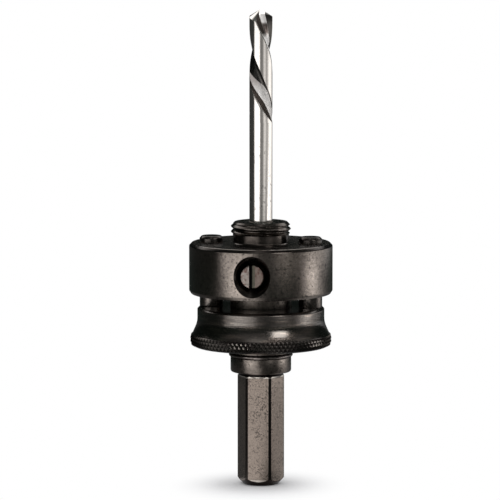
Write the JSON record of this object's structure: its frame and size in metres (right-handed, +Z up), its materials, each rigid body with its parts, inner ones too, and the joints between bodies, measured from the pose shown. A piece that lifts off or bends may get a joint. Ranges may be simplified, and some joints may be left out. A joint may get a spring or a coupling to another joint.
{
  "type": "hole saw arbor",
  "caption": "Threaded arbor with a hexagon shank, a pilot drill held by a slotted set screw, and a sliding knurled collar whose pins drive a hole saw.",
  "frame": {"origin": "centre of the end face of the hexagon shank, on which the arbor stands", "axes": "+Z up the arbor's axis from the shank to the drill's tip; -Y faces the set screw and is normal to a flat of the hexagon; the drive pins lie on the X axis"},
  "size_m": [0.0382, 0.0382, 0.1267],
  "materials": {
    "blackened_body": "black oxide on turned steel, satin, with fine turning lines and worn brown patches on the shank",
    "blackened_collar": "black oxide on turned and knurled steel, satin",
    "pin_steel": "black oxide, satin",
    "drill_steel": "bright ground steel",
    "screw_steel": "worn dark steel with brown specks",
    "spring_wire": "oiled spring wire"
  },
  "bodies": {
    "arbor": {"arbor_body": "blackened_body", "pilot_drill": "drill_steel", "snap_ring": "spring_wire"},
    "collar": {"drive_collar": "blackened_collar", "drive_pin_left": "pin_steel", "drive_pin_right": "pin_steel", "grip_ring": "spring_wire"},
    "screw": {"set_screw": "screw_steel"}
  },
  "joints": [
    {"name": "collar_slide", "type": "slide", "parent": "arbor", "child": "collar", "axis": [0, 0, 1], "range_m": [-0.0017, 0.0035]},
    {"name": "set_screw_turn", "type": "hinge", "parent": "arbor", "child": "screw", "pos_m": [0, -0.01047, 0.05755], "axis": [0, -1, 0], "range_deg": [0, 540]}
  ]
}
